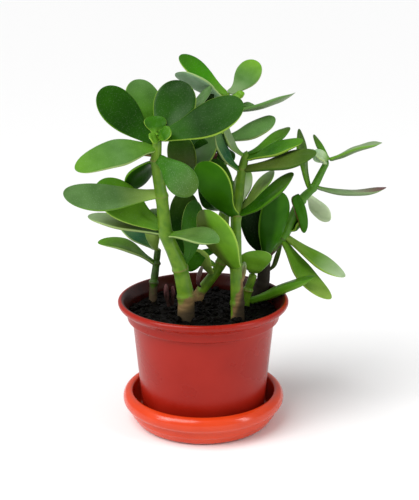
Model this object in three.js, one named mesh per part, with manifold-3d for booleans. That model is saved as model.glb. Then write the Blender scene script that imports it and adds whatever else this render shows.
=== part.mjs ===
// Jade plant in a plastic nursery pot, standing in a glossy saucer.
// Millimetres, +Z up. The origin is the middle of the saucer's flat underside.
// The plant's front is towards -Y and its right side towards +X.
import * as THREE from 'three';
import { mergeVertices } from 'three/addons/utils/BufferGeometryUtils.js';
import Module from 'manifold-3d';

const wasm = await Module();
wasm.setup();

// Driving dimensions.
const RIM_RADIUS = 60;
const RIM_TOP = 90.6;
const COLLAR_RADIUS = 53.7;
const COLLAR_BOTTOM = 76.4;
const POT_TOP_RADIUS = 49.9;
const POT_FOOT_RADIUS = 43.4;
const POT_WALL = 1.5;
const SAUCER_RADIUS = 57.8;
const SAUCER_HEIGHT = 22.8;
const SAUCER_FLOOR = 3;
const SOIL_TOP = 80;
const SOCKET_LENGTH = 14;
const GAP = 0.3;
const ROUND_SEGMENTS = 44;

// Materials.
const POT_PLASTIC = { color: 0x9a3a34, roughness: 0.42, metalness: 0 };
const SAUCER_PLASTIC = { color: 0xdf4a26, roughness: 0.2, metalness: 0 };
const POTTING_SOIL = { color: 0x1c1611, roughness: 1, metalness: 0 };
const GREEN_STEM = { color: 0x7ea03a, roughness: 0.6, metalness: 0 };
const BROWN_STEM = { color: 0x7a5a36, roughness: 0.8, metalness: 0 };
const DARK_LEAF = { color: 0x2c5a24, roughness: 0.35, metalness: 0 };
const BRIGHT_LEAF = { color: 0x4f8a1e, roughness: 0.38, metalness: 0 };
const BLOOMED_LEAF = { color: 0x6a9268, roughness: 0.55, metalness: 0 };
const PALE_LEAF = { color: 0xa8b890, roughness: 0.5, metalness: 0 };

const plant = new THREE.Group();

function addMesh(name, geometry, look) {
  const mesh = new THREE.Mesh(geometry, new THREE.MeshStandardMaterial(look));
  mesh.name = name;
  plant.add(mesh);
  return mesh;
}

// A turned body standing on +Z, from [radius, height] pairs.
function turned(outline, segments) {
  const points = outline.map(([radius, height]) => new THREE.Vector2(radius, height));
  const geometry = new THREE.LatheGeometry(points, segments);
  geometry.rotateX(Math.PI / 2);
  return geometry;
}

function toSolid(geometry) {
  const bare = geometry.clone();
  bare.deleteAttribute('normal');
  bare.deleteAttribute('uv');
  const merged = mergeVertices(bare, 1e-4);
  const corners = [];
  for (let i = 0; i < merged.index.count; i += 3) {
    const triangle = [merged.index.getX(i), merged.index.getX(i + 1), merged.index.getX(i + 2)];
    if (new Set(triangle).size === 3) {
      corners.push(...triangle);
    }
  }
  return new wasm.Manifold(new wasm.Mesh({
    numProp: 3,
    vertProperties: new Float32Array(merged.attributes.position.array),
    triVerts: new Uint32Array(corners),
  }));
}

function toGeometry(solid) {
  const mesh = solid.getMesh();
  const geometry = new THREE.BufferGeometry();
  geometry.setAttribute('position', new THREE.BufferAttribute(new Float32Array(mesh.vertProperties), 3));
  geometry.setIndex(new THREE.BufferAttribute(new Uint32Array(mesh.triVerts), 1));
  return geometry;
}

// Saucer: a moulded dish with a fat rolled lip, a shadow step below it and a narrow foot band.
const saucerOutline = [
  [0, 0],
  [46, 0],
  [49.2, 1.6],
  [51.4, 5.6],
  [52.6, 6.4],
  [53.6, 11.6],
  [56.6, 13.2],
  [SAUCER_RADIUS, 16],
  [SAUCER_RADIUS - 0.2, 19],
  [56.2, 21.6],
  [53.6, SAUCER_HEIGHT],
  [51.4, 22.6],
  [50.5, 21.6],
  [50.3, 18],
  [50.2, 8],
  [48, 4],
  [45.4, SAUCER_FLOOR],
  [0, SAUCER_FLOOR],
];
addMesh('saucer', turned(saucerOutline, ROUND_SEGMENTS), SAUCER_PLASTIC);

// Pot: a thin tapered cup with a straight collar, a flared round lip and five drain holes.
const FOOT_BOTTOM = SAUCER_FLOOR + GAP;
const FOOT_TOP = FOOT_BOTTOM + 2.2;
const potOutline = [
  [0, FOOT_BOTTOM],
  [POT_FOOT_RADIUS - 1.6, FOOT_BOTTOM],
  [POT_FOOT_RADIUS, FOOT_BOTTOM + 2],
  [POT_TOP_RADIUS, COLLAR_BOTTOM - 1.6],
  [COLLAR_RADIUS - 0.8, COLLAR_BOTTOM],
  [COLLAR_RADIUS, COLLAR_BOTTOM + 1],
  [COLLAR_RADIUS + 0.1, RIM_TOP - 7.8],
  [RIM_RADIUS - 3.4, RIM_TOP - 6.2],
  [RIM_RADIUS - 0.8, RIM_TOP - 4],
  [RIM_RADIUS, RIM_TOP - 2],
  [RIM_RADIUS - 0.6, RIM_TOP - 0.6],
  [RIM_RADIUS - 2, RIM_TOP],
  [RIM_RADIUS - 3.4, RIM_TOP - 0.2],
  [RIM_RADIUS - 4.4, RIM_TOP - 1.4],
  [COLLAR_RADIUS - POT_WALL + 0.4, RIM_TOP - 7],
  [COLLAR_RADIUS - POT_WALL, COLLAR_BOTTOM + 1.4],
  [POT_TOP_RADIUS - POT_WALL, COLLAR_BOTTOM - 1.6],
  [POT_FOOT_RADIUS - POT_WALL, FOOT_TOP],
  [0, FOOT_TOP],
];
const DRAIN_HOLES = 5;
const DRAIN_RADIUS = 4;
const DRAIN_CIRCLE = 28;
let potSolid = toSolid(turned(potOutline, ROUND_SEGMENTS));
for (let i = 0; i < DRAIN_HOLES; i += 1) {
  const angle = (i / DRAIN_HOLES) * 2 * Math.PI;
  const hole = new THREE.CylinderGeometry(DRAIN_RADIUS, DRAIN_RADIUS, 10, 12);
  hole.rotateX(Math.PI / 2);
  hole.translate(DRAIN_CIRCLE * Math.cos(angle), DRAIN_CIRCLE * Math.sin(angle), FOOT_BOTTOM);
  potSolid = potSolid.subtract(toSolid(hole));
}
addMesh('pot', toGeometry(potSolid), POT_PLASTIC);

// Stems. Each route runs from inside the soil to the growing tip through the leaf nodes,
// where the stem swells a little; it tapers evenly from its foot to its tip.
const stems = {
  left: {
    route: [[-11.8, -16, 72], [-12, -16, 97], [-15.5, -17, 117], [-24.5, -20, 142],
      [-27.5, -22, 169], [-30.5, -23, 193], [-29.5, -22, 209]],
    foot: 6.2,
    tip: 3,
    look: GREEN_STEM,
  },
  rear_left: {
    route: [[-37, 21, 72], [-36, 23, 94], [-34, 25, 108], [-32.5, 25, 120]],
    foot: 3.1,
    tip: 2.3,
    look: GREEN_STEM,
  },
  middle: {
    route: [[24.3, -14, 72], [23.6, -14, 91], [22.5, -13, 118], [22.5, -11, 153],
      [26.5, -8, 184], [29.5, -5, 196]],
    foot: 5.1,
    tip: 2.4,
    look: GREEN_STEM,
  },
  tall: {
    route: [[-5, 24, 72], [-4, 24.5, 83], [13, 26, 108], [15, 28, 143],
      [13, 29, 180], [13.5, 28, 205], [17.5, 26, 231]],
    foot: 4.2,
    tip: 2.6,
    look: GREEN_STEM,
  },
  short: {
    route: [[29, 12, 72], [32, 12, 92], [36, 12, 105]],
    foot: 3.2,
    tip: 2.8,
    look: GREEN_STEM,
  },
  right: {
    route: [[33, 22, 72], [42.8, 26.5, 91], [45.6, 30, 113], [57, 31, 125.5],
      [70, 29, 154], [78, 28, 163], [88, 26, 184]],
    foot: 5.2,
    tip: 2.2,
    look: BROWN_STEM,
  },
};

const STEM_SIDES = 9;
const NODE_SWELL = 0.6;

for (const stem of Object.values(stems)) {
  stem.curve = new THREE.CatmullRomCurve3(stem.route.map((point) => new THREE.Vector3(...point)));
  stem.spans = stem.route.length - 1;
}

function stemRadius(stem, at) {
  return stem.foot + (stem.tip - stem.foot) * (at / stem.spans);
}

// The stem is turned straight, one unit of height per span, then laid along its route.
function stemGeometry(stem) {
  const outline = [new THREE.Vector2(0, 0), new THREE.Vector2(stem.foot, 0)];
  for (let node = 1; node < stem.spans; node += 1) {
    const radius = stemRadius(stem, node);
    outline.push(new THREE.Vector2(radius, node - 0.14));
    outline.push(new THREE.Vector2(radius + NODE_SWELL, node));
    outline.push(new THREE.Vector2(radius, node + 0.14));
  }
  outline.push(new THREE.Vector2(stem.tip, stem.spans - 0.12));
  outline.push(new THREE.Vector2(0, stem.spans));
  const geometry = new THREE.LatheGeometry(outline, STEM_SIDES);
  const position = geometry.attributes.position;
  for (let i = 0; i < position.count; i += 1) {
    const u = position.getY(i) / stem.spans;
    const tangent = stem.curve.getTangent(u);
    const side = new THREE.Vector3(1, 0, 0).projectOnPlane(tangent).normalize();
    const back = new THREE.Vector3().crossVectors(side, tangent);
    const point = stem.curve.getPoint(u);
    point.addScaledVector(side, position.getX(i));
    point.addScaledVector(back, position.getZ(i));
    position.setXYZ(i, point.x, point.y, point.z);
  }
  return geometry;
}

for (const [name, stem] of Object.entries(stems)) {
  addMesh(`stem_${name}`, stemGeometry(stem), stem.look);
}

// Soil: it fills the pot to a low crown and has a socket for every stem.
const soilOutline = [
  [0, FOOT_TOP + GAP],
  [POT_FOOT_RADIUS - POT_WALL - GAP, FOOT_TOP + GAP],
  [POT_TOP_RADIUS - POT_WALL - GAP, COLLAR_BOTTOM - 1.6],
  [POT_TOP_RADIUS - POT_WALL + 1.6, COLLAR_BOTTOM + 1.4],
  [COLLAR_RADIUS - POT_WALL - GAP, COLLAR_BOTTOM + 2.6],
  [COLLAR_RADIUS - POT_WALL - 4, SOIL_TOP],
  [0, SOIL_TOP],
];
let soilSolid = toSolid(turned(soilOutline, ROUND_SEGMENTS));
for (const stem of Object.values(stems)) {
  const foot = stem.curve.getPoint(0);
  const lean = stem.curve.getTangent(0);
  const socket = new THREE.CylinderGeometry(stem.foot + 1, stem.foot + 0.6, SOCKET_LENGTH, 12);
  socket.applyQuaternion(new THREE.Quaternion().setFromUnitVectors(new THREE.Vector3(0, 1, 0), lean));
  foot.addScaledVector(lean, SOCKET_LENGTH / 2 - GAP);
  socket.translate(foot.x, foot.y, foot.z);
  soilSolid = soilSolid.subtract(toSolid(socket));
}
addMesh('soil', toGeometry(soilSolid), POTTING_SOIL);

// Leaves. A leaf is a fat blade on a narrow neck: widest past its middle, round at its tip,
// a little flatter above than below, and lightly arched along its length.
const LEAF_SIDES = 8;
const LEAF_RINGS = 9;
const NECK_SHARE = 0.3;
const WIDEST_AT = 0.62;
const UPPER_SHARE = 0.38;
const NECK_CLEARANCE = 0.7;

function outlineShare(t, widest) {
  if (t < widest) {
    const s = t / widest;
    return NECK_SHARE + (1 - NECK_SHARE) * Math.sin((s * Math.PI) / 2) ** 1.5;
  }
  const s = (t - widest) / (1 - widest);
  return Math.sqrt(Math.max(0, 1 - s ** 2.2));
}

function leafGeometry(leaf) {
  const heading = THREE.MathUtils.degToRad(leaf.heading);
  const rise = THREE.MathUtils.degToRad(leaf.rise);
  const turn = THREE.MathUtils.degToRad(leaf.turn);
  const outwards = new THREE.Vector3(Math.cos(heading), Math.sin(heading), 0);
  const along = outwards.clone().multiplyScalar(Math.cos(rise));
  along.z = Math.sin(rise);
  const rightHand = new THREE.Vector3(Math.sin(heading), -Math.cos(heading), 0);
  const above = new THREE.Vector3().crossVectors(rightHand, along);
  const upper = above.clone().multiplyScalar(Math.cos(turn)).addScaledVector(rightHand, Math.sin(turn));
  const side = new THREE.Vector3().crossVectors(along, upper);
  const neckHalf = (NECK_SHARE * leaf.width * Math.abs(Math.sin(turn))) / 2;
  const neckReach = Math.max(neckHalf, leaf.thick / 4) * Math.abs(Math.sin(rise));
  const start = leaf.stem.curve.getPoint(leaf.at / leaf.stem.spans);
  const seat = THREE.MathUtils.degToRad(leaf.seat);
  const offStem = new THREE.Vector3(Math.cos(seat), Math.sin(seat), 0);
  start.addScaledVector(offStem, stemRadius(leaf.stem, leaf.at) + NECK_CLEARANCE + neckReach);
  const geometry = new THREE.SphereGeometry(1, LEAF_SIDES, LEAF_RINGS);
  const position = geometry.attributes.position;
  for (let i = 0; i < position.count; i += 1) {
    const ring = Math.floor(i / (LEAF_SIDES + 1));
    const around = ((i % (LEAF_SIDES + 1)) / LEAF_SIDES) * 2 * Math.PI;
    const t = (1 - Math.cos((ring / LEAF_RINGS) * Math.PI)) / 2;
    const pole = ring === 0 || ring === LEAF_RINGS;
    const outline = pole ? 0 : outlineShare(t, leaf.widest);
    const half = (leaf.width / 2) * outline;
    const fullness = pole ? 0 : leaf.thick * (0.45 + 0.55 * outline) * (1 - t ** 5);
    const share = Math.sin(around) > 0 ? UPPER_SHARE : 1 - UPPER_SHARE;
    const point = start.clone().addScaledVector(along, leaf.length * t);
    point.addScaledVector(side, half * Math.cos(around));
    const lift = fullness * share * Math.sin(around)
      + leaf.fold * Math.cos(around) ** 2 * outline
      + leaf.arch * 4 * t * (1 - t);
    point.addScaledVector(upper, pole ? leaf.arch * 4 * t * (1 - t) : lift);
    position.setXYZ(i, point.x, point.y, point.z);
  }
  return geometry;
}

// One row per leaf: name, node on its stem (counted from the foot), heading round the stem
// (0 = right, 90 = back), rise above level, length, width, thickness, turn about its own axis,
// arch of its middle, lift of its edges, look; then, where they differ from most leaves, the
// place of its widest part and the side of the stem that its neck sits on.
const leafRows = {
  left: [
    ['young', 6, 103, 60, 13, 15, 2.4, 0, 0, 1, BRIGHT_LEAF],
    ['top_rear', 5.72, 54, 60, 43, 28, 5, 30, -2, 1, DARK_LEAF],
    ['top_left', 5.75, 164, 46, 46, 25, 5, -50, -2, 1, DARK_LEAF],
    ['top_far', 5.65, 113, 53, 48, 26, 5, 0, -2, 1, BRIGHT_LEAF],
    ['top_right', 5.95, -8, 24, 56, 27, 5, 50, -2, 1, DARK_LEAF],
    ['top_front', 5.55, -157, -12, 52, 21, 5, -40, 4, 0, DARK_LEAF, 0.42],
    ['upper_front', 5.1, -48, -29, 37, 20, 5, 50, 1, 0, BLOOMED_LEAF],
    ['upper_rear', 4.95, 125, -45, 34, 21, 4, 0, 3, 0, DARK_LEAF],
    ['upper_far', 5.2, 145, -1, 46, 18, 4, -15, 1, 0, BLOOMED_LEAF],
    ['long_left', 4.05, -163, 4, 60, 20, 5.5, -50, -5, 0, BLOOMED_LEAF],
    ['lower_left', 3.15, 170, 37, 49, 26, 4.5, -50, 0, 1, DARK_LEAF],
    ['lower_far', 3, 158, 8, 54, 16, 4.5, -15, 1, 0, BLOOMED_LEAF],
    ['lower_right', 3, -38, 3, 39, 15, 4.5, 25, 2, 2, BLOOMED_LEAF],
    ['upright', 2.15, 9, 86, 44, 15, 4, 80, 0, 1, BRIGHT_LEAF],
  ],
  rear_left: [
    ['side', 2, -163, 26, 43, 13, 4, -25, 6, 1, BRIGHT_LEAF],
    ['front', 2.8, -115, 72, 24, 11, 3.5, 0, 0, 0, BRIGHT_LEAF],
    ['back', 2.9, 160, 31, 30, 14, 3.5, -20, 1, 0, BLOOMED_LEAF],
  ],
  middle: [
    ['low_front', 1.95, -147, 60, 53, 27, 5, 25, -2, 1, BRIGHT_LEAF, 0.56, -85],
    ['inner_front', 3, -142, 61, 46, 25, 5, 30, -2, 1, BRIGHT_LEAF],
    ['inner_back', 3, 135, 64, 39, 18, 4.5, -40, -2, 1, BRIGHT_LEAF],
    ['right', 3, -22, 42, 47, 15, 5, 35, -1, 1, DARK_LEAF],
    ['rear_right', 3, 36, 45, 38, 12, 4, 0, 1, 0, DARK_LEAF],
    ['rear', 3.15, 75, 46, 30, 13, 4, 0, 0, 0, PALE_LEAF],
    ['blade_left', 4, -153, 62, 31, 13, 4, -50, -2, 0, BLOOMED_LEAF],
    ['blade_top', 4.75, -163, 64, 24, 10, 3.5, -40, -2, 0, BRIGHT_LEAF],
    ['long_right', 4, -25, 17, 50, 19, 5, 25, 0, 0, DARK_LEAF],
    ['top_right', 4.5, -14, 22, 38, 14, 4.5, 25, 1, 0, BRIGHT_LEAF],
    ['top_back', 4.7, 19, 32, 33, 12, 4, 10, 0, 0, BRIGHT_LEAF],
  ],
  tall: [
    ['crown_left', 5.75, -152, 32, 41, 17, 4, 25, 2, 0, BLOOMED_LEAF],
    ['crown_top', 5.95, 180, 42, 39, 15, 4, -45, 2, 0, BRIGHT_LEAF],
    ['crown_right', 5.95, 27, 50, 28, 18, 4.5, 40, -1, 1, DARK_LEAF],
    ['right', 5.5, -11, 17, 47, 15, 4.5, -8, -2, 0, DARK_LEAF],
    ['shoulder', 4.7, -19, 25, 38, 16, 4.5, 45, -1, 0, BLOOMED_LEAF],
    ['front', 5, -129, -39, 42, 19, 4.5, -10, 1, 0, BRIGHT_LEAF],
    ['left', 5.1, 167, -44, 44, 24, 4.5, -35, 3, 0, DARK_LEAF],
    ['low_front', 4.5, -80, -22, 20, 13, 4, 0, 1, 0, DARK_LEAF],
    ['hanging', 1.75, -140, 57, 25, 12, 4, 30, 0, 0, BRIGHT_LEAF],
    ['low_left', 1.95, 168, 16, 22, 12, 4, 0, 1, 0, DARK_LEAF],
  ],
  short: [
    ['hood', 2, -84, 74, 20, 23, 4.5, 0, 1, 0, BRIGHT_LEAF],
    ['over_rim', 0.55, -14, 27, 50, 11, 7.6, 0, 1, 0, BRIGHT_LEAF],
  ],
  right: [
    ['low_outer', 3, -23, -29, 49, 14, 5, 20, -1, 0, BRIGHT_LEAF, 0.56],
    ['low_front', 2.85, -40, -41, 53, 17, 5, 10, -5, 0, DARK_LEAF, 0.52],
    ['tall_front', 2.05, -60, 74, 52, 25, 5, 0, -2, 1, DARK_LEAF, WIDEST_AT, -100],
    ['inner', 3.15, -10, 52, 16, 9, 3.5, 0, 0, 1, BRIGHT_LEAF],
    ['hanging', 4.1, -89, -66, 25, 9, 4, 0, 1, 0, DARK_LEAF],
    ['hanging_twin', 4.1, -150, 45, 14, 10, 4, 0, 0, 0, DARK_LEAF],
    ['pale', 4.25, 40, -50, 30, 15, 3.5, -20, 1, 0, PALE_LEAF],
    ['outer', 5, -7, 2, 48, 13, 4, 0, -3.5, 0, BLOOMED_LEAF],
    ['rear', 5, 149, 79, 42, 12, 4, 0, 0, 0, DARK_LEAF],
    ['tip_right', 5.95, -16, 23, 37, 12, 4.5, 0, 2.5, 0, BLOOMED_LEAF],
    ['tip_left', 5.9, -135, 36, 15, 13, 3.5, -30, 1, 0, PALE_LEAF],
  ],
};

for (const [stemName, rows] of Object.entries(leafRows)) {
  for (const row of rows) {
    const [name, at, heading, rise, length, width, thick, turn, arch, fold, look] = row;
    const leaf = { stem: stems[stemName], at, heading, rise, length, width, thick, turn, arch, fold };
    leaf.widest = row[11] ?? WIDEST_AT;
    leaf.seat = row[12] ?? heading;
    addMesh(`leaf_${stemName}_${name}`, leafGeometry(leaf), look);
  }
}

export default plant;
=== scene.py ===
# A potted jade plant: glossy saucer, thin plastic nursery pot, potting soil,
# six jade stems and their fat waxy leaves, built in the order they are put together.
import bpy
import bmesh
import math
import random
import numpy as np
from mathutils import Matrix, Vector


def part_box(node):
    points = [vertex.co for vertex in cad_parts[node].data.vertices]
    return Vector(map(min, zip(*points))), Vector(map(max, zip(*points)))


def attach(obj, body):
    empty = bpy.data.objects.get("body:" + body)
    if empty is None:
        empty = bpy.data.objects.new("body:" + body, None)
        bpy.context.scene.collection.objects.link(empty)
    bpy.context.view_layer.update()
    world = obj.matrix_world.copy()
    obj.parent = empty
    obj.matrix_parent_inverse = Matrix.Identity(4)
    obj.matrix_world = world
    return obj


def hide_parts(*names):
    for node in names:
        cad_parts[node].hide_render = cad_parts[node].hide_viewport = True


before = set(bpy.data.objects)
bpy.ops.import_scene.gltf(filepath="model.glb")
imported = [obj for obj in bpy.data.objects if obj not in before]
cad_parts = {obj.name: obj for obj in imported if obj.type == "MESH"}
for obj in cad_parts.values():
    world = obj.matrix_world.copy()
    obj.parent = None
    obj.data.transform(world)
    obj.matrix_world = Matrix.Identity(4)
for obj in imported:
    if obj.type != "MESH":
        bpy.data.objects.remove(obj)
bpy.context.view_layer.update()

# Camera: stands in front of the plant, a little above its top, and looks down at it.
lens_stand = bpy.data.cameras.new("camera")
lens_stand.lens = 73.0
lens_stand.sensor_width = 36.0
camera = bpy.data.objects.new("camera", lens_stand)
camera.location = (0.0044, -0.676, 0.3215)
camera.rotation_euler = (math.radians(73.8), 0.0, 0.0)
bpy.context.scene.collection.objects.link(camera)
bpy.context.scene.camera = camera


# Saucer: a glossy orange dish, injection moulded in polypropylene with a fat rolled lip,
# a shadow step under the lip and a narrow foot band. The pot stands loose in it.
def paint(hex_text):
    """A colour from its six hex digits, as the shader wants it."""
    parts = [int(hex_text[i:i + 2], 16) / 255 for i in (0, 2, 4)]
    return tuple(p / 12.92 if p < 0.04045 else ((p + 0.055) / 1.055) ** 2.4 for p in parts) + (1.0,)


def new_finish(name):
    """A new finish with its shader ready to be wired."""
    finish = bpy.data.materials.new(name)
    finish.use_nodes = True
    return finish, finish.node_tree.nodes["Principled BSDF"]


def wire(finish, kind, inputs, **settings):
    """Adds one node to a finish; inputs are given by socket number or name, as values or as sockets."""
    node = finish.node_tree.nodes.new("ShaderNode" + kind)
    for key, value in settings.items():
        setattr(node, key, value)
    for key, value in inputs.items():
        if isinstance(value, bpy.types.NodeSocket):
            finish.node_tree.links.new(value, node.inputs[key])
        else:
            node.inputs[key].default_value = value
    return node


def join_to(finish, source, target):
    """Joins one socket to another."""
    finish.node_tree.links.new(source, target)


def blend_colours(finish, share, first, second, mode="MIX"):
    """The two colours mixed by share, as a socket."""
    node = wire(finish, "Mix", {0: share, 6: first, 7: second}, data_type="RGBA", blend_type=mode)
    return node.outputs[2]


def graded(finish, value, low, high, to_low=0.0, to_high=1.0):
    """A value spread smoothly from one range to another, as a socket."""
    node = wire(
        finish, "MapRange",
        {0: value, 1: low, 2: high, 3: to_low, 4: to_high},
        interpolation_type="SMOOTHSTEP",
    )
    return node.outputs[0]


def soft_pattern(finish, where, scale, detail):
    """A soft random pattern over the piece, as a socket."""
    return wire(finish, "TexNoise", {"Vector": where, "Scale": scale, "Detail": detail}).outputs[0]


def add_relief(finish, shader, strength, depth, pattern):
    """Fine bumps on the finish, high where the pattern is high; depth in metres."""
    relief = wire(finish, "Bump", {"Strength": strength, "Distance": depth, "Height": pattern})
    join_to(finish, relief.outputs[0], shader.inputs["Normal"])


def turned_piece(name, outline, around, rounding):
    """A round moulding drawn up ring by ring from its flat underside; outline in millimetres."""
    bpy.ops.object.select_all(action="DESELECT")
    radius, height = outline[0]
    bpy.ops.mesh.primitive_circle_add(
        vertices=around, radius=radius / 1000, fill_type="NGON", location=(0, 0, height / 1000)
    )
    piece = bpy.context.object
    piece.name = name
    piece.data.name = name
    bpy.ops.object.transform_apply(location=True, rotation=True, scale=True)
    bpy.ops.object.mode_set(mode="EDIT")
    bpy.ops.mesh.select_all(action="SELECT")
    for (r0, z0), (r1, z1) in zip(outline, outline[1:]):
        bpy.ops.mesh.extrude_region_move(TRANSFORM_OT_translate={"value": (0, 0, (z1 - z0) / 1000)})
        bpy.ops.transform.resize(value=(r1 / r0, r1 / r0, 1), center_override=(0, 0, z1 / 1000))
    bpy.ops.mesh.select_all(action="SELECT")
    bpy.ops.mesh.normals_make_consistent(inside=False)
    bpy.ops.object.mode_set(mode="OBJECT")
    soft = piece.modifiers.new("rounding", "SUBSURF")
    soft.levels = rounding
    soft.render_levels = rounding
    bpy.ops.object.modifier_apply(modifier="rounding")
    bpy.ops.object.shade_smooth_by_angle(angle=math.radians(40))
    return piece


def finish_with(piece, finish):
    """Gives a piece its finish and hangs it on the root body."""
    piece.data.materials.clear()
    piece.data.materials.append(finish)
    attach(piece, "root")


saucer_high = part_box("saucer")[1]
lip = saucer_high.x * 1000
saucer_top = saucer_high.z * 1000
saucer_outline = [
    (43.0, 0.0), (45.4, 0.0), (46.6, 0.2), (49.0, 1.5), (49.9, 2.6), (51.2, 5.2), (51.6, 6.1),
    (52.4, 6.5), (52.8, 7.4), (53.5, 11.0), (53.8, 12.0), (55.0, 12.6), (56.6, 13.2),
    (lip - 0.2, 14.9), (lip + 0.1, 17.2), (lip - 0.3, 19.6), (56.1, 21.8), (54.6, saucer_top - 0.2),
    (53.0, saucer_top + 0.1), (51.6, 22.6), (50.7, 21.4), (50.4, 19.0), (50.2, 9.0),
    (49.6, 5.9), (48.0, 4.0), (45.4, 3.0), (43.0, 3.0),
]
saucer_piece = turned_piece("saucer_dish", saucer_outline, 72, 2)
saucer_finish, shader = new_finish("glossy_orange_plastic")
place = wire(saucer_finish, "TexCoord", {})
cloud = soft_pattern(saucer_finish, place.outputs["Object"], 45.0, 3.0)
orange = blend_colours(
    saucer_finish, graded(saucer_finish, cloud, 0.3, 0.7), paint("c8360c"), paint("d03e14")
)
join_to(saucer_finish, orange, shader.inputs["Base Color"])
grain = soft_pattern(saucer_finish, place.outputs["Object"], 900.0, 2.0)
join_to(saucer_finish, graded(saucer_finish, grain, 0.3, 0.75, 0.17, 0.27), shader.inputs["Roughness"])
add_relief(saucer_finish, shader, 0.04, 0.0002, grain)
shader.inputs["Specular IOR Level"].default_value = 0.36
shader.inputs["Coat Weight"].default_value = 0.15
shader.inputs["Coat Roughness"].default_value = 0.12
finish_with(saucer_piece, saucer_finish)
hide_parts("saucer")

# Pot: a thin tapered cup of brick-red polypropylene with a straight collar, a flared
# round lip and five drain holes cut through its floor. It stands in the saucer.
pot_low, pot_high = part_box("pot")
foot = pot_low.z * 1000
rim = pot_high.x * 1000
rim_top = pot_high.z * 1000
pot_outline = [
    (39.0, foot), (41.2, foot), (42.3, foot + 0.4), (43.2, foot + 1.4), (43.5, foot + 2.4),
    (43.8, foot + 5.0), (46.6, foot + 36.0), (49.7, foot + 69.0), (49.95, foot + 71.6),
    (50.5, foot + 72.4), (52.4, foot + 73.0), (53.3, foot + 73.4), (53.7, foot + 74.2),
    (53.75, foot + 76.0), (53.8, foot + 78.6), (54.1, foot + 79.5), (55.6, foot + 80.5),
    (57.6, foot + 81.6), (59.2, rim_top - 4.2), (rim, rim_top - 2.6), (rim + 0.1, rim_top - 1.5),
    (rim - 0.5, rim_top - 0.4), (rim - 1.8, rim_top + 0.1), (rim - 3.2, rim_top - 0.2),
    (rim - 4.2, rim_top - 1.2), (53.7, rim_top - 5.2), (52.6, rim_top - 7.2),
    (52.2, rim_top - 10.0), (52.1, rim_top - 13.4), (50.2, rim_top - 15.0), (48.4, rim_top - 16.6),
    (45.1, foot + 36.0), (42.2, foot + 4.2), (41.6, foot + 2.6), (40.4, foot + 2.2), (39.0, foot + 2.2),
]
pot_piece = turned_piece("nursery_pot", pot_outline, 72, 2)
drain_holes = 5
drill_radius = 0.004
drill_circle = 0.028
for hole in range(drain_holes):
    turn = hole / drain_holes * 2 * math.pi
    bpy.ops.object.select_all(action="DESELECT")
    bpy.ops.mesh.primitive_cylinder_add(
        vertices=32, radius=drill_radius, depth=0.012,
        location=(drill_circle * math.cos(turn), drill_circle * math.sin(turn), pot_low.z + 0.001),
    )
    drill = bpy.context.object
    bpy.context.view_layer.objects.active = pot_piece
    cut = pot_piece.modifiers.new("drain", "BOOLEAN")
    cut.object = drill
    cut.operation = "DIFFERENCE"
    cut.solver = "EXACT"
    bpy.ops.object.modifier_apply(modifier="drain")
    bpy.data.objects.remove(drill)
pot_finish, shader = new_finish("brick_red_plastic")
place = wire(pot_finish, "TexCoord", {})
cloud = soft_pattern(pot_finish, place.outputs["Object"], 28.0, 4.0)
brick = blend_colours(pot_finish, graded(pot_finish, cloud, 0.3, 0.7), paint("921708"), paint("9c1e10"))
flat_place = wire(pot_finish, "VectorMath", {0: place.outputs["Object"], 1: (1, 1, 0)}, operation="MULTIPLY")
outward = wire(
    pot_finish, "VectorMath", {0: flat_place.outputs[0], 1: place.outputs["Normal"]}, operation="DOT_PRODUCT"
)
# The inner wall is painted a dark red: painted shade inside the pot.
painted_inner_shade = graded(pot_finish, outward.outputs["Value"], 0.008, -0.02)
brick = blend_colours(pot_finish, painted_inner_shade, brick, paint("3c0e09"))
join_to(pot_finish, brick, shader.inputs["Base Color"])
grain = soft_pattern(pot_finish, place.outputs["Object"], 1300.0, 2.0)
dull = graded(pot_finish, cloud, 0.25, 0.8, 0.24, 0.38)
join_to(pot_finish, dull, shader.inputs["Roughness"])
add_relief(pot_finish, shader, 0.06, 0.0002, grain)
shader.inputs["Specular IOR Level"].default_value = 0.24
finish_with(pot_piece, pot_finish)
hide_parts("pot")

# Soil: dark peat mix, filled in loose to a finger below the rim, crumbly on top with
# coarse grains and bits of fibre. It is poured round the stems and holds them.
soil_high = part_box("soil")[1]
bed_radius = soil_high.x - 0.0002
bed_top = soil_high.z
bed_rings = 34
grain_count = 900
bpy.ops.object.select_all(action="DESELECT")
bpy.ops.mesh.primitive_cylinder_add(
    vertices=110, radius=bed_radius, depth=0.004, location=(0, 0, bed_top - 0.002)
)
soil_piece = bpy.context.object
soil_piece.name = "soil_bed"
soil_piece.data.name = "soil_bed"
bpy.ops.object.transform_apply(location=True, rotation=True, scale=True)
bpy.ops.object.mode_set(mode="EDIT")
bpy.ops.mesh.select_mode(type="FACE")
bpy.ops.mesh.select_all(action="DESELECT")
soil_mesh = bmesh.from_edit_mesh(soil_piece.data)
soil_mesh.faces.ensure_lookup_table()
for face in soil_mesh.faces:
    face.select = face.normal.z > 0.9
bmesh.update_edit_mesh(soil_piece.data)
for ring in range(bed_rings):
    bpy.ops.mesh.inset(thickness=bed_radius / (bed_rings + 2), depth=0.0)
bpy.ops.mesh.poke()
bpy.ops.object.mode_set(mode="OBJECT")
crumbs = soil_piece.vertex_groups.new(name="crumbs")
for corner in soil_piece.data.vertices:
    out = math.hypot(corner.co.x, corner.co.y) / bed_radius
    if corner.co.z > bed_top - 0.001:
        crumbs.add([corner.index], 1.0 if out < 0.985 else 0.25, "REPLACE")
for label, size, lift in (("heaps", 0.016, 0.0036), ("lumps", 0.0052, 0.0042), ("grit", 0.0017, 0.0014)):
    bumps = bpy.data.textures.new(label, "CLOUDS")
    bumps.noise_scale = size
    bumps.noise_depth = 1
    push = soil_piece.modifiers.new(label, "DISPLACE")
    push.texture = bumps
    push.texture_coords = "LOCAL"
    push.direction = "Z"
    push.strength = lift
    push.mid_level = 0.5
    push.vertex_group = "crumbs"
    bpy.ops.object.modifier_apply(modifier=label)
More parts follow.
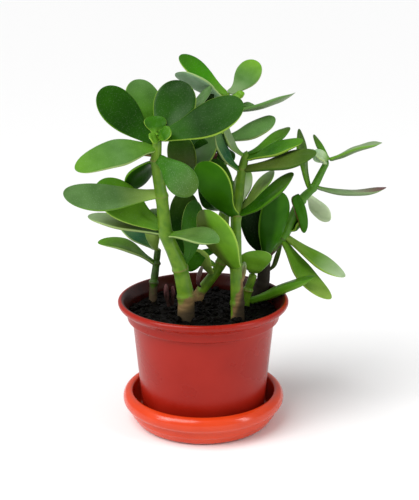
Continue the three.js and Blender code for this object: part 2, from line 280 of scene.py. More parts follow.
bpy.ops.object.shade_smooth_by_angle(angle=math.radians(50))

dice = random.Random(7)
bpy.ops.object.select_all(action="DESELECT")
bpy.ops.mesh.primitive_ico_sphere_add(subdivisions=1, radius=1, location=(0, 0, 0))
grain_blank = bpy.context.object
shape = np.array([v.co[:] for v in grain_blank.data.vertices])
faces = [tuple(p.vertices) for p in grain_blank.data.polygons]
bpy.data.objects.remove(grain_blank)
grain_points = []
grain_faces = []
top_points = np.array([v.co[:] for v in soil_piece.data.vertices])
for grain in range(grain_count):
    far = bed_radius * 0.975 * math.sqrt(dice.random())
    turn = dice.random() * 2 * math.pi
    spot = np.array([far * math.cos(turn), far * math.sin(turn)])
    away = np.hypot(top_points[:, 0] - spot[0], top_points[:, 1] - spot[1])
    nearest = np.argmin(away - top_points[:, 2] * 0.01)
    size = 0.0006 + 0.0019 * dice.random() ** 2.2
    stretch = np.array([1 + dice.random() * 0.9, 0.8 + dice.random() * 0.4, 0.6 + dice.random() * 0.4])
    swing = dice.random() * math.pi
    spun = shape * stretch * size * (1 + 0.35 * np.array([[dice.random() - 0.5] for _ in shape]))
    spun = np.stack([
        spun[:, 0] * math.cos(swing) - spun[:, 1] * math.sin(swing),
        spun[:, 0] * math.sin(swing) + spun[:, 1] * math.cos(swing),
        spun[:, 2],
    ], 1)
    base = len(grain_points) * len(shape)
    grain_points.append(spun + np.array([spot[0], spot[1], top_points[nearest, 2] + size * 0.25]))
    grain_faces += [tuple(i + base for i in f) for f in faces]
grain_mesh = bpy.data.meshes.new("soil_grains")
grain_mesh.from_pydata(np.concatenate(grain_points).tolist(), [], grain_faces)
grain_piece = bpy.data.objects.new("soil_grains", grain_mesh)
bpy.context.scene.collection.objects.link(grain_piece)

soil_finish, shader = new_finish("dark_potting_soil")
place = wire(soil_finish, "TexCoord", {})
patch = soft_pattern(soil_finish, place.outputs["Object"], 260.0, 5.0)
speck = wire(soil_finish, "TexVoronoi", {"Vector": place.outputs["Object"], "Scale": 620.0})
earth = blend_colours(soil_finish, graded(soil_finish, patch, 0.42, 0.72), paint("030201"), paint("0a0604"))
crumb = graded(soil_finish, speck.outputs["Distance"], 0.22, 0.08, 0.0, 0.22)
earth = blend_colours(soil_finish, crumb, earth, paint("2e2218"))
join_to(soil_finish, earth, shader.inputs["Base Color"])
shader.inputs["Roughness"].default_value = 0.5
shader.inputs["Specular IOR Level"].default_value = 0.08
add_relief(soil_finish, shader, 0.7, 0.0006, patch)
finish_with(soil_piece, soil_finish)
finish_with(grain_piece, soil_finish)
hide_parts("soil")


# Stems: six fleshy jade stems planted in the soil, thicker at each leaf node with a thin ring
# where old leaves fell. Young growth is yellow-green, and the feet turn to brown ringed bark.
def rings_of(node, around):
    """A CAD node's rings of corners, as places in metres, followed once from each of its two ends."""
    merged = bmesh.new()
    merged.from_mesh(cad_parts[node].data)
    bmesh.ops.remove_doubles(merged, verts=merged.verts, dist=0.000004)
    ends = [v for v in merged.verts if len(v.link_edges) == around]
    chains = []
    for start in ends[:2]:
        seen = {start}
        rings = [[start]]
        while True:
            step = {e.other_vert(v) for v in rings[-1] for e in v.link_edges} - seen
            if not step:
                break
            seen |= step
            walk = [min(step, key=lambda v: v.index)]
            while len(walk) < len(step):
                onward = [e.other_vert(walk[-1]) for e in walk[-1].link_edges]
                onward = [v for v in onward if v in step and v not in walk]
                walk.append(onward[0])
            rings.append(walk)
        chains.append([[np.array(v.co[:]) for v in ring] for ring in rings])
    merged.free()
    return chains


def ring_radius(ring):
    """The mean distance of a ring's corners from its middle."""
    return np.mean(np.linalg.norm(np.array(ring) - np.mean(ring, 0), axis=1))


def smoothed(values, rounds):
    """The values with each one but the ends drawn towards its neighbours, a number of times over."""
    for step in range(rounds):
        values[1:-1] = (values[:-2] + 2 * values[1:-1] + values[2:]) / 4
    return values


def through(values, at):
    """A smooth curve through evenly spaced values, read at the given places."""
    values = np.asarray(values, float)
    at = np.clip(np.asarray(at, float), 0, len(values) - 1.000001)
    k = np.floor(at).astype(int)
    s = (at - k).reshape((-1,) + (1,) * (values.ndim - 1))
    last = len(values) - 1
    here = values[k]
    onward = values[k + 1]
    before = np.where((k > 0).reshape(s.shape), values[np.maximum(k - 1, 0)], 2 * here - onward)
    beyond = np.where((k + 2 <= last).reshape(s.shape), values[np.minimum(k + 2, last)], 2 * onward - here)
    return 0.5 * (
        2 * here + (onward - before) * s
        + (2 * before - 5 * here + 4 * onward - beyond) * s ** 2
        + (3 * here - before - 3 * onward + beyond) * s ** 3
    )


def blank(around, rows):
    """A round blank, foot down and tip up, with each corner's turn round it and share of the way up."""
    bpy.ops.object.select_all(action="DESELECT")
    bpy.ops.mesh.primitive_uv_sphere_add(segments=around, ring_count=rows, radius=1, location=(0, 0, 0))
    form = bpy.context.object
    bpy.ops.object.shade_smooth()
    points = np.array([v.co[:] for v in form.data.vertices])
    mesh = form.data.copy()
    bpy.data.objects.remove(form)
    turn = np.arctan2(points[:, 1], points[:, 0])
    share = np.arccos(np.clip(-points[:, 2], -1, 1)) / math.pi
    return mesh, turn, share


def laid(name, form, points, lie):
    """A copy of the blank with its corners laid at points, which also keeps how each corner lies."""
    mesh = form.copy()
    mesh.name = name
    mesh.vertices.foreach_set("co", np.asarray(points, np.float32).ravel())
    note = mesh.attributes.new("lie", "FLOAT_VECTOR", "POINT")
    note.data.foreach_set("vector", np.asarray(lie, np.float32).ravel())
    mesh.update()
    piece = bpy.data.objects.new(name, mesh)
    bpy.context.scene.collection.objects.link(piece)
    return piece


def stem_finish(name, young, old, bark, bark_dark):
    """Fleshy green skin that turns to ringed brown bark where the stem is old."""
    finish, shader = new_finish(name)
    place = wire(finish, "TexCoord", {})
    lie = wire(finish, "Attribute", {}, attribute_name="lie", attribute_type="GEOMETRY")
    split = wire(finish, "SeparateXYZ", {0: lie.outputs["Vector"]})
    woody, scar, along = split.outputs[0], split.outputs[1], split.outputs[2]
    soft = soft_pattern(finish, place.outputs["Object"], 170.0, 4.0)
    drawn = wire(finish, "Mapping", {"Vector": place.outputs["Object"], "Scale": (120.0, 120.0, 620.0)})
    streak = soft_pattern(finish, drawn.outputs[0], 1.0, 5.0)
    green = blend_colours(finish, graded(finish, soft, 0.3, 0.7), paint(young), paint(old))
    tan = blend_colours(finish, graded(finish, streak, 0.1, 0.8), paint(bark_dark), paint(bark))
    tan = blend_colours(finish, graded(finish, woody, 0.72, 0.95, 0.0, 0.85), tan, paint("1c1a10"))
    ragged = wire(finish, "Math", {0: soft, 1: 0.9, 2: -0.45}, operation="MULTIPLY_ADD")
    edge = wire(finish, "Math", {0: woody, 1: ragged.outputs[0]}, operation="ADD")
    skin = blend_colours(finish, graded(finish, edge.outputs[0], 0.35, 0.65), green, tan)
    skin = blend_colours(finish, graded(finish, scar, 0.3, 0.95, 0.0, 0.55), skin, tan)
    join_to(finish, skin, shader.inputs["Base Color"])
    join_to(finish, graded(finish, edge.outputs[0], 0.3, 0.7, 0.42, 0.8), shader.inputs["Roughness"])
    add_relief(finish, shader, 0.1, 0.0002, streak)
    shader.inputs["Specular IOR Level"].default_value = 0.3
    return finish


stem_form, stem_turn, stem_share = blank(24, 96)
stem_corners = 9
spine_points = 160
tip_rounding = 0.002
scar_width = 0.0007
lip_height = 0.00035
lip_width = 0.0009
waist_depth = 0.00025
waist_width = 0.0011
waist_above_scar = 0.0022

# One row per stem: slot, height of the bark above the soil, how far the bark's edge tilts, and how
# soft that edge is.
stem_looks = {
    "stem_left": ("green_stem", 0.0165, 0.003, 0.2),
    "stem_rear_left": ("green_stem", 0.012, 0.002, 1.4),
    "stem_middle": ("green_stem", 0.0175, 0.013, 0.2),
    "stem_tall": ("green_stem", 0.008, -0.003, 0.3),
    "stem_short": ("green_stem", -0.006, 0.0, 0.3),
    "stem_right": ("brown_stem", 0.040, 0.0, 0.5),
}
green_skin = stem_finish("green_stem_skin", "64881a", "4a7410", "8c7248", "5c4628")
brown_skin = stem_finish("brown_stem_bark", "4f8618", "3f7014", "54402f", "2a1d16")
# The rear left stem stands in shade, and its skin is a darker copy of the green skin: painted shade.
shaded_skin = stem_finish("shaded_stem_skin", "3c5e12", "2a480c", "54442e", "2c2218")
stem_skins = {"stem_right": brown_skin, "stem_rear_left": shaded_skin}
spines = []
for stem_node, (skin_slot, bark_height, bark_lean, bark_blur) in stem_looks.items():
    rings = min(rings_of(stem_node, stem_corners), key=lambda chain: chain[0][0][2])
    middles = np.array([np.mean(ring, 0) for ring in rings])
    radii = np.array([ring_radius(ring) for ring in rings])
    radii[0] = radii[1]
    reach = np.concatenate([[0], np.cumsum(np.linalg.norm(np.diff(middles, axis=0), axis=1))])
    even = np.linspace(0, reach[-1], spine_points)
    spine = smoothed(np.stack([np.interp(even, reach, middles[:, k]) for k in range(3)], 1), 6)
    girth = smoothed(np.interp(even, reach, radii), 3)
    swells = [
        reach[k] for k in range(1, len(radii) - 1)
        if radii[k] > radii[k - 1] and radii[k] > radii[k + 1]
    ]
    spines.append(spine)
    lengthwise = stem_share * (spine_points - 1)
    centre = through(spine, lengthwise)
    ahead = through(spine, lengthwise + 0.8) - through(spine, lengthwise - 0.8)
    ahead /= np.linalg.norm(ahead, axis=1)[:, None]
    side = np.cross(ahead, np.array([0.0, 1.0, 0.0]))
    side /= np.linalg.norm(side, axis=1)[:, None]
    back = np.cross(ahead, side)
    where = stem_share * reach[-1]
    radius = np.interp(where, even, girth)
    scar = np.zeros(len(where))
    for swell in swells:
        scar = np.maximum(scar, np.exp(-((where - swell) / scar_width) ** 2))
        radius += lip_height * np.exp(-((where - swell) / lip_width) ** 2)
        radius -= waist_depth * np.exp(-((where - swell - waist_above_scar) / waist_width) ** 2)
    wrinkle = 0.00012 * np.sin(stem_turn * 5 + where * 180) + 0.00008 * np.sin(stem_turn * 9 - where * 90)
    radius = radius + wrinkle
    round_end = np.sqrt(np.clip((reach[-1] - where) / tip_rounding, 0, 1))
    radius = radius * round_end
    radius[stem_share < 1e-6] = 0
    spoke = np.cos(stem_turn)[:, None] * side + np.sin(stem_turn)[:, None] * back
    points = centre + radius[:, None] * spoke
    above_soil = points[:, 2] - bed_top - bark_lean * (points - centre)[:, 0] / np.maximum(radius, 0.001)
    woody = 1 / (1 + np.exp((above_soil - bark_height) / (0.004 * (1 + bark_blur))))
    piece = laid(stem_node + "_skin", stem_form, points, np.stack([woody, scar, stem_share], 1))
    finish_with(piece, stem_skins.get(stem_node, green_skin))
    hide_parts(stem_node)


# Leaves: fat, waxy jade leaves in crossed pairs, each on a short neck that grows out of a stem node.
# The blade is thick with a blunt light margin, flat or dished above and full below.
def leaf_grid(node):
    """The leaf's ten rings of eight corners from neck to tip, each with its upper middle as the third."""
    rings = min(rings_of(node, 8), key=lambda chain: ring_radius(chain[2]))
    rows = [np.array(ring) for ring in rings]
    for k in range(2, 9):
        turns = [np.roll(rows[k][::way], shift, axis=0) for way in (1, -1) for shift in range(8)]
        before = rows[k - 1]
        centre = np.mean(before, 0)
        rows[k] = min(turns, key=lambda r: np.sum((r - np.mean(r, 0) - before + centre) ** 2))
    middle = rows[5]
    first = max(range(4), key=lambda j: np.linalg.norm(middle[j] - middle[j + 4]))
    rows = [rows[0]] + [np.roll(r, -first, axis=0) for r in rows[1:9]] + [rows[9]]
    middle = rows[5]
    chord = (middle[0] + middle[4]) / 2
    if np.linalg.norm(middle[2] - chord) > np.linalg.norm(middle[6] - chord):
        rows = [rows[0]] + [np.roll(r, 4, axis=0) for r in rows[1:9]] + [rows[9]]
    middle = rows[5]
    along = rows[9][0] - rows[0][0]
    if np.dot(np.cross(middle[0] - middle[4], middle[2] - middle[6]), along) < 0:
        rows = [rows[0]] + [np.roll(r[::-1], -3, axis=0) for r in rows[1:9]] + [rows[9]]
    return np.array([np.repeat(rows[0], 8, 0)] + rows[1:9] + [np.repeat(rows[9], 8, 0)])


def leaf_surface(grid, turn, share):
    """Places on the smooth leaf that the rings describe, by turn round it and share of its length."""
    loop = np.concatenate([
        np.roll(grid[2:0:-1], 4, axis=1), grid, np.roll(grid[8:6:-1], 4, axis=1),
    ])
    lengthwise = through(loop, share * 9 + 2)
    gap = turn[:, None] - (np.arange(8) * math.pi / 4)[None, :]
    weight = (1 + 2 * (np.cos(gap) + np.cos(2 * gap) + np.cos(3 * gap)) + np.cos(4 * gap)) / 8
    return np.einsum("nj,njk->nk", weight, lengthwise)


leaf_form, leaf_turn, leaf_share = blank(32, 36)
leaf_x = np.cos(leaf_turn)
leaf_z = np.sin(leaf_turn)
leaf_t = (1 - np.cos(leaf_share * math.pi)) / 2
all_spines = np.concatenate(spines)
neck_radius = 0.00135
groove_depth = 0.0005
groove_width = 0.16
dish_depth = 0.0004
margin_bluntness = 2.7


def lay_leaf(name, grid, seed, neck=0.88):
    """One leaf from the blank: blunt margins, a shallow midrib and a faint wave.

    neck is the share of the way to the nearest stem by which its foot is drawn out.
    """
    upper = leaf_surface(grid, leaf_turn, leaf_share)
    lower = leaf_surface(grid, -leaf_turn, leaf_share)
    mid = (upper + lower) / 2
    half = (upper - lower) / 2
    blunt = (1 - np.abs(leaf_x) ** margin_bluntness) ** (1 / margin_bluntness)
    fuller = np.where(np.abs(leaf_z) > 1e-4, blunt / np.maximum(np.abs(leaf_z), 1e-4), 1.0)
    points = mid + half * fuller[:, None]
    thick = grid[5][2] - grid[5][6]
    up = thick / np.linalg.norm(thick)
    roll = random.Random(seed)
    a, b, c = (roll.random() * 6.28 for _ in range(3))
    wave = 0.00028 * np.sin(leaf_t * 7 + a) * leaf_x + 0.00022 * np.sin(leaf_t * 11 + b + leaf_x * 2)
    wave += 0.00018 * np.sin(leaf_x * 5 + c) * np.sin(leaf_t * 6 + b)
    groove = -groove_depth * np.exp(-((leaf_x / groove_width) ** 2)) * (leaf_z > 0.3)
    groove = groove * np.clip(1 - leaf_t * 1.25, 0, 1)
    dish = dish_depth * (leaf_z > 0) * (np.abs(leaf_x) ** 3 - 0.3) * np.sin(np.clip(leaf_t, 0, 1) * math.pi)
    calm = np.clip(np.minimum(leaf_t, 1 - leaf_t) * 8, 0, 1)
    points += ((wave + groove + dish) * calm)[:, None] * up
    start = grid[0][0]
    nearest = all_spines[np.argmin(np.linalg.norm(all_spines - start, axis=1))]
    core = through(np.mean(grid, 1), leaf_share * 9)
    out = points - core
    girth = np.linalg.norm(out, axis=1)
    least = np.where(leaf_t < 0.34, neck_radius * np.clip(leaf_t / 0.01, 0, 1) ** 0.5, 0)
    widen = np.where((girth > 1e-6) & (girth < least), least / np.maximum(girth, 1e-6), 1)
    points = core + out * widen[:, None]
    pull = np.clip(1 - leaf_t / 0.3, 0, 1) ** 2.2
    points += pull[:, None] * (nearest - start) * neck
    return laid(name, leaf_form, points, np.stack([leaf_x, leaf_z, leaf_t], 1))


# deep, the near-black green of the dark fill leaves, is painted shade.
greens = {
    "night": "173a06", "bottle": "224e06", "forest": "306408", "meadow": "467a10", "fresh": "3a8204",
    "lime": "639422", "sea": "2c5c3c", "frost": "587c44", "olive": "4a5c20", "grey": "547c3c",
    "silver": "7c9468", "milk": "a4bc90", "edge": "9cc046", "rust": "7a4428", "pale_edge": "a0b870",
    "petiole": "8aa84a", "shade": "3e5c1c", "plum": "6a4246", "bark": "9a8458", "deep": "0e2404",
    "leaf": "54841c", "sage": "587a34", "cream": "c4d8ac", "mist": "8cae88", "stone": "8a827a",
    "umber": "33201e",
}
greens = {word: np.array(paint(code)) for word, code in greens.items()}


def leaf_finish(name, gloss, frost, shine):
    """Waxy leaf skin over the leaf's own greens: mottled, with pale specks and a light margin.

    gloss is the least roughness, frost how strong the specks are, and shine the specular level.
    """
    finish, shader = new_finish(name)
    place = wire(finish, "TexCoord", {})
    lie = wire(finish, "Attribute", {}, attribute_name="lie", attribute_type="GEOMETRY")
    split = wire(finish, "SeparateXYZ", {0: lie.outputs["Vector"]})
    above = split.outputs[1]
    own = wire(finish, "Attribute", {}, attribute_name="own_green", attribute_type="GEOMETRY")
    rim_green = wire(finish, "Attribute", {}, attribute_name="margin_green", attribute_type="GEOMETRY")
    cloud = soft_pattern(finish, place.outputs["Object"], 110.0, 5.0)
    fine = soft_pattern(finish, place.outputs["Object"], 1100.0, 3.0)
    speck = wire(finish, "TexVoronoi", {"Vector": place.outputs["Object"], "Scale": 1050.0})
    mottle = graded(finish, cloud, 0.35, 0.75, 0.0, 0.55)
    skin = blend_colours(finish, mottle, own.outputs["Color"], (0.55, 0.66, 0.5, 1.0), mode="MULTIPLY")
    dots = graded(finish, speck.outputs["Distance"], 0.3, 0.1, 0.0, 0.08 + 0.22 * frost)
    dots = wire(finish, "Math", {0: dots, 1: graded(finish, above, -0.1, 0.3)}, operation="MULTIPLY")
    skin = blend_colours(finish, dots.outputs[0], skin, paint("a9bb98"))
    rim = wire(finish, "Math", {0: above}, operation="ABSOLUTE")
    rim_share = graded(finish, rim.outputs[0], 0.32, 0.1, 0.0, 0.8)
    skin = blend_colours(finish, rim_share, skin, rim_green.outputs["Color"])
    join_to(finish, skin, shader.inputs["Base Color"])
    join_to(finish, graded(finish, cloud, 0.3, 0.75, gloss, gloss + 0.1), shader.inputs["Roughness"])
    add_relief(finish, shader, 0.14, 0.0003, fine)
    shader.inputs["Specular IOR Level"].default_value = shine
    return finish


skins = {
    "dark_leaf": leaf_finish("deep_leaf_skin", 0.34, 0.12, 0.05),
    "bright_leaf": leaf_finish("glossy_leaf_skin", 0.3, 0.2, 0.13),
    "bloomed_leaf": leaf_finish("satin_leaf_skin", 0.38, 0.7, 0.12),
    "pale_leaf": leaf_finish("pale_leaf_skin", 0.42, 0.4, 0.18),
}


def colour_leaf(piece, slot_name, foot, body, tip, under, margin, half=None):
    """Writes a leaf's own greens: foot, body and tip above, one below, one on the margin.

    half, where it is given, covers the side past the midrib, above and below.
    """
    note = piece.data.attributes["lie"]
    lie = np.zeros(len(note.data) * 3, np.float32)
    note.data.foreach_get("vector", lie)
    lie = lie.reshape(-1, 3)
    along = lie[:, 2:3]
    low = np.clip(along / 0.4, 0, 1)
    high = np.clip((along - 0.45) / 0.5, 0, 1)
    top = greens[foot] * (1 - low) + greens[body] * low
    top = top * (1 - high) + greens[tip] * high
    below = greens[under] * (0.8 + 0.2 * high) * (1 - 0.25 * (1 - low)) + greens[foot] * 0.25 * (1 - low)
    if half:
        past = np.clip(lie[:, 0:1] * 6 + 0.5, 0, 1)
        top = top * (1 - past) + greens[half] * past
        below = below * (1 - past) + greens[half] * past
    face = np.clip(lie[:, 1:2] * 3 + 0.5, 0, 1)
    blade = top * face + below * (1 - face)
    for label, tint in (("own_green", blade), ("margin_green", greens[margin] + 0 * top)):
        tint[:, 3] = 1.0
        mark = piece.data.attributes.new(label, "FLOAT_COLOR", "POINT")
        mark.data.foreach_set("color", tint.astype(np.float32).ravel())
    finish_with(piece, skins[slot_name])


# One row per leaf: slot, green at the foot, on the body, at the tip, below and along the margin,
# and on two leaves the green of the side past the midrib.
leaf_wear = {
    "leaf_left_young": ("bright_leaf", "lime", "forest", "forest", "lime", "edge"),
    "leaf_left_top_rear": ("bright_leaf", "forest", "bottle", "night", "forest", "edge"),
    "leaf_left_top_left": ("dark_leaf", "bottle", "night", "bottle", "forest", "lime"),
    "leaf_left_top_far": ("bright_leaf", "meadow", "meadow", "grey", "lime", "edge"),
    "leaf_left_top_right": ("dark_leaf", "forest", "night", "bottle", "forest", "edge"),
    "leaf_left_top_front": ("dark_leaf", "leaf", "grey", "leaf", "frost", "pale_edge"),
    "leaf_left_upper_front": ("bloomed_leaf", "forest", "forest", "shade", "forest", "grey"),
    "leaf_left_upper_rear": ("dark_leaf", "bottle", "bottle", "night", "bottle", "lime"),
    "leaf_left_upper_far": ("bloomed_leaf", "grey", "silver", "silver", "silver", "rust"),
    "leaf_left_long_left": ("bloomed_leaf", "petiole", "frost", "frost", "frost", "lime"),
    "leaf_left_lower_left": ("bright_leaf", "leaf", "leaf", "meadow", "leaf", "edge"),
    "leaf_left_lower_far": ("bloomed_leaf", "grey", "olive", "silver", "olive", "pale_edge"),
    "leaf_left_lower_right": ("bloomed_leaf", "leaf", "sage", "grey", "sage", "pale_edge"),
    "leaf_left_upright": ("bright_leaf", "forest", "forest", "bottle", "forest", "edge"),
    "leaf_rear_left_side": ("bright_leaf", "leaf", "sage", "leaf", "leaf", "pale_edge"),
    "leaf_rear_left_front": ("bright_leaf", "petiole", "lime", "leaf", "petiole", "edge"),
    "leaf_rear_left_back": ("bloomed_leaf", "grey", "sea", "frost", "grey", "pale_edge"),
    # The lime half of leaf_middle_low_front is the half that faces the light: painted highlight.
    "leaf_middle_low_front": ("bright_leaf", "leaf", "olive", "grey", "olive", "edge", "lime"),
    "leaf_middle_inner_front": ("dark_leaf", "forest", "forest", "bottle", "forest", "edge"),
    "leaf_middle_inner_back": ("bright_leaf", "forest", "meadow", "bottle", "meadow", "lime"),
    "leaf_middle_right": ("dark_leaf", "forest", "bottle", "shade", "shade", "meadow"),
    "leaf_middle_rear_right": ("bright_leaf", "petiole", "petiole", "silver", "petiole", "lime"),
    "leaf_middle_rear": ("pale_leaf", "cream", "cream", "lime", "milk", "pale_edge"),
    "leaf_middle_blade_left": ("bloomed_leaf", "forest", "sea", "frost", "shade", "pale_edge"),
    "leaf_middle_blade_top": ("bright_leaf", "lime", "silver", "silver", "lime", "pale_edge"),
    "leaf_middle_long_right": ("dark_leaf", "olive", "olive", "shade", "shade", "shade"),
    "leaf_middle_top_right": ("bright_leaf", "meadow", "forest", "meadow", "forest", "edge"),
    "leaf_middle_top_back": ("bright_leaf", "forest", "meadow", "shade", "meadow", "meadow"),
    "leaf_tall_crown_left": ("bloomed_leaf", "grey", "mist", "mist", "mist", "pale_edge"),
    "leaf_tall_crown_top": ("bright_leaf", "lime", "fresh", "forest", "forest", "edge"),
    "leaf_tall_crown_right": ("dark_leaf", "silver", "grey", "lime", "silver", "pale_edge"),
    "leaf_tall_right": ("dark_leaf", "shade", "grey", "silver", "silver", "grey"),
    "leaf_tall_shoulder": ("bloomed_leaf", "grey", "grey", "grey", "grey", "pale_edge"),
    "leaf_tall_front": ("bright_leaf", "sage", "frost", "frost", "shade", "edge"),
    "leaf_tall_left": ("dark_leaf", "bottle", "night", "bottle", "bottle", "edge"),
    "leaf_tall_low_front": ("dark_leaf", "bottle", "night", "night", "bottle", "lime"),
    "leaf_tall_hanging": ("bright_leaf", "petiole", "petiole", "lime", "petiole", "edge"),
    "leaf_tall_low_left": ("bright_leaf", "lime", "leaf", "meadow", "lime", "edge"),
    "leaf_short_hood": ("bright_leaf", "petiole", "lime", "silver", "lime", "pale_edge"),
    "leaf_short_over_rim": ("bright_leaf", "leaf", "leaf", "meadow", "lime", "meadow"),
    # The milk tip of leaf_right_low_outer is a painted highlight.
    "leaf_right_low_outer": ("bright_leaf", "petiole", "lime", "milk", "lime", "edge"),
    "leaf_right_low_front": ("bright_leaf", "lime", "leaf", "petiole", "petiole", "edge"),
    "leaf_right_tall_front": ("dark_leaf", "fresh", "bottle", "night", "bottle", "lime", "forest"),
    "leaf_right_inner": ("bright_leaf", "meadow", "meadow", "meadow", "meadow", "edge"),
    "leaf_right_pale": ("pale_leaf", "cream", "cream", "cream", "cream", "cream"),
    "leaf_right_outer": ("bloomed_leaf", "leaf", "silver", "plum", "silver", "silver"),
    "leaf_right_rear": ("dark_leaf", "lime", "sage", "shade", "sage", "leaf"),
    "leaf_right_tip_right": ("bloomed_leaf", "lime", "silver", "silver", "silver", "lime"),
    "leaf_right_tip_left": ("pale_leaf", "milk", "milk", "milk", "milk", "pale_edge"),
}
for number, (leaf_node, wear) in enumerate(leaf_wear.items()):
    piece = lay_leaf(leaf_node + "_blade", leaf_grid(leaf_node), number)
    colour_leaf(piece, *wear)
    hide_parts(leaf_node)


# Small leaves: the one that hangs from the right stem, the young ones at the growing tips, the old and
# shaded ones inside the plant, and sprouts and dry bits near the soil. Most grow from the nearest stem.
def small_leaf_grid(base, tip, width, thick, facing, arch=0.0, bow=0.0, widest=0.55):
    """Rings in metres for a leaf from base to tip in millimetres; its upper side looks along facing."""
    base = np.array(base) / 1000
    tip = np.array(tip) / 1000
    along = (tip - base) / np.linalg.norm(tip - base)
    across = np.cross(np.array(facing, float), along)
    across /= np.linalg.norm(across)
    up = np.cross(along, across)
    grid = []
    for k in range(10):
        t = (1 - math.cos(k * math.pi / 9)) / 2
        full = 1 - abs(2 * t ** (math.log(0.5) / math.log(widest)) - 1) ** 2.2
        half_width = width / 2000 * max(full, 0.0) ** 0.5
        half_thick = thick / 2000 * max(1 - abs(2 * t - 1) ** 2.6, 0.0) ** 0.5
        middle = base + (tip - base) * t + (up * arch + across * bow) * 0.004 * t * (1 - t)
        reach = across * half_width
        rise = up * half_thick
        turns = [j * math.pi / 4 for j in range(8)]
        grid.append([middle + reach * math.cos(turn) + rise * math.sin(turn) for turn in turns])
    return np.array(grid)


hanging = lay_leaf(
    "leaf_right_hanging_blade",
    small_leaf_grid((61.4, 25.0, 162.8), (72.3, 23.0, 131.1), 8.5, 4.0, (0.3, -0.9, 0.2), 0.5, 2.2, 0.52),
    70, 0.6,
)
colour_leaf(hanging, "dark_leaf", "bottle", "forest", "forest", "forest", "rust")
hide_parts("leaf_right_hanging", "leaf_right_hanging_twin")

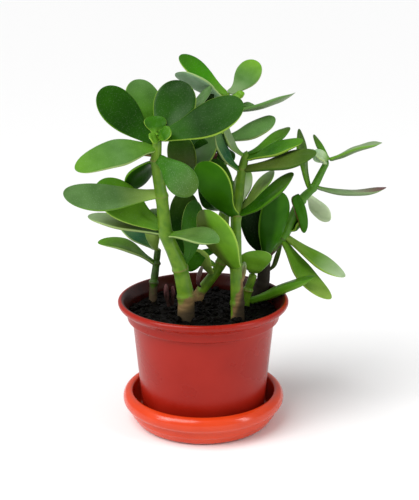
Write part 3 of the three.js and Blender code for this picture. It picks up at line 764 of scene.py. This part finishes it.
# One row each: base, tip, width, thickness, facing, arch, bow, widest place and share of the way that
# the foot is drawn to the stem, and then the slot and greens as above.
small_leaves = {
    "right_young": ((87.6, 26.0, 184.8), (76.8, 24.0, 201.8), 4.4, 2.2, (0.2, -0.9, 0.3), 0, 0.6, 0.5, 0.9,
                    ("bright_leaf", "lime", "meadow", "shade", "meadow", "lime")),
    "left_partner": ((-27.7, -26.0, 207.0), (-20.6, -30.0, 214.6), 9.5, 2.2, (-0.3, -0.7, 0.6),
                     0.4, 0, 0.6, 0.5, ("bright_leaf", "lime", "forest", "meadow", "lime", "edge")),
    "left_partner_low": ((-28.7, -25.0, 205.6), (-34.6, -30.0, 210.2), 7.5, 2.2, (0, -0.7, 0.7),
                         0.4, 0, 0.6, 0.5, ("bright_leaf", "lime", "leaf", "leaf", "lime", "edge")),
    "tall_bud": ((19.9, 26.0, 226.9), (28.4, 22.0, 230.6), 5.4, 3.2, (-0.2, -0.7, 0.6), 0.5, 0, 0.6, 0.9,
                 ("bright_leaf", "lime", "lime", "lime", "lime", "edge")),
    "tall_bud_grey": ((24.2, 27.0, 221.9), (35.4, 24.0, 222.0), 4.2, 2.4, (0, -0.6, 0.8), 0.3, 0, 0.6, 0.9,
                      ("bloomed_leaf", "shade", "grey", "grey", "grey", "grey")),
    "left_hidden": ((-24.9, -14.0, 153.0), (-36.0, -8.0, 155.7), 8.0, 2.8, (0, -0.3, 0.95), 0, 0, 0.6, 0.9,
                    ("bloomed_leaf", "shade", "grey", "silver", "grey", "pale_edge")),
    "tall_strip": ((5.4, 12.0, 236.5), (-12.7, 0.0, 214.7), 6.5, 2.4, (-0.3, -0.9, 0.3), 0, 0, 0.45, 0.0,
                   ("bloomed_leaf", "frost", "frost", "bottle", "frost", "silver")),
    # tall_shadow, upper_inner_right, inner_left, inner_middle_low, inner_right, deep_shade, inner_middle and
    # inner_top are dark leaves in near-black greens set between the stems where the plant lies in deep shade:
    # painted shade.
    "tall_shadow": ((5.4, 20.0, 235.0), (1.3, 18.0, 220.5), 8.0, 2.6, (0, -0.9, 0.3), 0, 0, 0.5, 0.0,
                    ("dark_leaf", "deep", "deep", "deep", "deep", "deep")),
    "upper_inner": ((-12.0, 6.0, 172.2), (-16.4, 2.0, 205.9), 20.0, 3.0, (-0.2, -0.9, 0.2), 0, 0, 0.55, 0.6,
                    ("bright_leaf", "shade", "olive", "forest", "shade", "edge")),
    "upper_inner_right": ((-5.0, 16.0, 171.1), (-0.1, 14.0, 200.7), 15.0, 3.0, (0.2, -0.9, 0.2),
                          0, 0, 0.5, 0.6, ("dark_leaf", "deep", "night", "bottle", "deep", "forest")),
    "left_back_tip": ((-31.0, -12.0, 197.0), (-75.0, 22.0, 191.3), 12.0, 3.0, (0, -0.5, 0.8), 0, 0, 0.65, 0.8,
                      ("bloomed_leaf", "plum", "stone", "silver", "stone", "plum")),
    "right_tip_oval": ((87.4, 23.0, 184.9), (75.7, 20.0, 189.0), 9.5, 2.8, (0.1, -0.9, 0.4), 0, 0, 0.55, 0.6,
                       ("pale_leaf", "lime", "milk", "mist", "milk", "milk")),
    "right_shoot": ((50.1, 32.0, 99.0), (56.8, 34.0, 120.5), 3.6, 3.2, (0, -1, 0), 0, 0, 0.5, 0.8,
                    ("bright_leaf", "olive", "olive", "leaf", "olive", "olive")),
    "right_shaded": ((71.8, 33.0, 143.8), (59.6, 30.0, 128.4), 8.0, 2.8, (0.3, -0.9, 0.3), 0, -1.5, 0.5, 0.9,
                     ("dark_leaf", "bottle", "bottle", "forest", "forest", "meadow")),
    "inner_left": ((-12.0, 8.0, 126.5), (-13.2, 8.0, 165.6), 22.0, 3.0, (0.1, -0.9, 0.1), 0, 0, 0.5, 0.7,
                   ("dark_leaf", "bottle", "night", "shade", "bottle", "forest")),
    "inner_middle_low": ((7.5, 12.0, 147.8), (2.0, 10.0, 177.8), 16.0, 3.0, (0.1, -0.9, 0.1), 0, 0, 0.5, 0.7,
                         ("dark_leaf", "bottle", "night", "shade", "bottle", "forest")),
    "inner_low": ((0.9, 14.0, 121.0), (-11.2, 12.0, 106.1), 9.5, 3.0, (0.2, -0.9, 0.2), 0, 0, 0.5, 0.9,
                  ("dark_leaf", "bottle", "forest", "forest", "bottle", "forest")),
    "brown_tip": ((10.3, 14.0, 181.6), (4.7, 10.0, 194.2), 6.0, 2.4, (0, -0.9, 0.2), 0, 0, 0.5, 0.9,
                  ("dark_leaf", "shade", "plum", "rust", "shade", "rust")),
    "inner_right": ((23.2, 22.0, 146.8), (18.1, 22.0, 169.9), 12.0, 3.0, (0.2, -0.9, 0), 0, 0, 0.5, 0.9,
                    ("dark_leaf", "bottle", "night", "bottle", "deep", "forest")),
    "deep_shade": ((42.9, 24.0, 116.6), (31.0, 18.0, 158.0), 20.0, 3.0, (0, -0.9, 0), 0, 0, 0.5, 0.9,
                   ("dark_leaf", "deep", "deep", "night", "deep", "night")),
    "inner_middle": ((13.2, 24.0, 178.1), (4.1, 10.0, 152.8), 15.0, 3.0, (0.2, -0.9, 0.2), 0, 0, 0.5, 0.9,
                     ("dark_leaf", "night", "bottle", "night", "deep", "forest")),
    "inner_top": ((13.1, 28.0, 206.6), (0.3, 20.0, 189.4), 16.0, 3.0, (0, -0.9, 0.3), 0, 0, 0.5, 0.9,
                  ("dark_leaf", "night", "deep", "night", "deep", "bottle")),
    "dry_petiole": ((-4.6, 18.0, 93.1), (-0.3, 18.0, 108.7), 3.2, 2.6, (0, -1, 0), 0, 0.6, 0.5, 0.4,
                    ("bloomed_leaf", "umber", "plum", "stone", "plum", "stone")),
    "dry_stub": ((25.8, -8.0, 101.4), (28.6, -7.0, 118.8), 4.4, 3.4, (0, -1, 0), 0, 0, 0.6, 0.5,
                 ("bloomed_leaf", "bark", "bark", "silver", "bark", "bark")),
    "soil_sprout_left": ((-24.0, -2.0, 84.5), (-26.0, -2.0, 101.0), 3.8, 3.2, (0, -1, 0), 0, 0.5, 0.6, 0.0,
                         ("dark_leaf", "umber", "umber", "plum", "umber", "umber")),
    "soil_sprout_right": ((-22.2, 1.0, 84.5), (-21.4, 1.0, 98.6), 3.2, 2.8, (0, -1, 0), 0, -0.4, 0.6, 0.0,
                          ("dark_leaf", "umber", "umber", "plum", "umber", "umber")),
}
for number, (name, row) in enumerate(small_leaves.items()):
    *form, pull, wear = row
    piece = lay_leaf(name, small_leaf_grid(*form), 80 + number, pull)
    colour_leaf(piece, *wear)


# Studio: a plain white floor, a broad window light from the upper left in front, and a tall soft lamp
# on each side.
bpy.ops.object.select_all(action="DESELECT")
bpy.ops.mesh.primitive_plane_add(size=30, location=(0, 0, 0))
floor = bpy.context.object
floor.name = "floor"
floor_finish, shader = new_finish("white_floor")
shader.inputs["Base Color"].default_value = (0.9, 0.9, 0.9, 1)
shader.inputs["Roughness"].default_value = 0.9
shader.inputs["Specular IOR Level"].default_value = 0.1
floor.data.materials.append(floor_finish)

world = bpy.data.worlds.new("studio")
world.use_nodes = True
world.node_tree.nodes["Background"].inputs[0].default_value = (1.0, 1.0, 1.0, 1)
world.node_tree.nodes["Background"].inputs[1].default_value = 0.45
bpy.context.scene.world = world
bpy.context.scene.view_settings.view_transform = "Standard"


def soft_lamp(name, place, aim, size, power):
    """A square softbox that faces aim."""
    lamp = bpy.data.lights.new(name, "AREA")
    lamp.shape = "RECTANGLE"
    lamp.size = size[0]
    lamp.size_y = size[1]
    lamp.energy = power
    box = bpy.data.objects.new(name, lamp)
    box.location = place
    box.rotation_euler = (Vector(aim) - Vector(place)).to_track_quat("-Z", "Y").to_euler()
    bpy.context.scene.collection.objects.link(box)


sun = bpy.data.lights.new("window_light", "SUN")
sun.energy = 2.5
sun.angle = math.radians(45)
window = bpy.data.objects.new("window_light", sun)
window.rotation_euler = (Vector((0, 0, 0)) - Vector((-0.55, -0.45, 1.0))).to_track_quat("-Z", "Y").to_euler()
bpy.context.scene.collection.objects.link(window)
soft_lamp("left_box", (-0.8, -0.5, 0.55), (0, 0, 0.12), (0.3, 0.6), 2.5)
soft_lamp("right_box", (0.75, -0.45, 0.4), (0, 0, 0.08), (0.18, 0.7), 2.5)
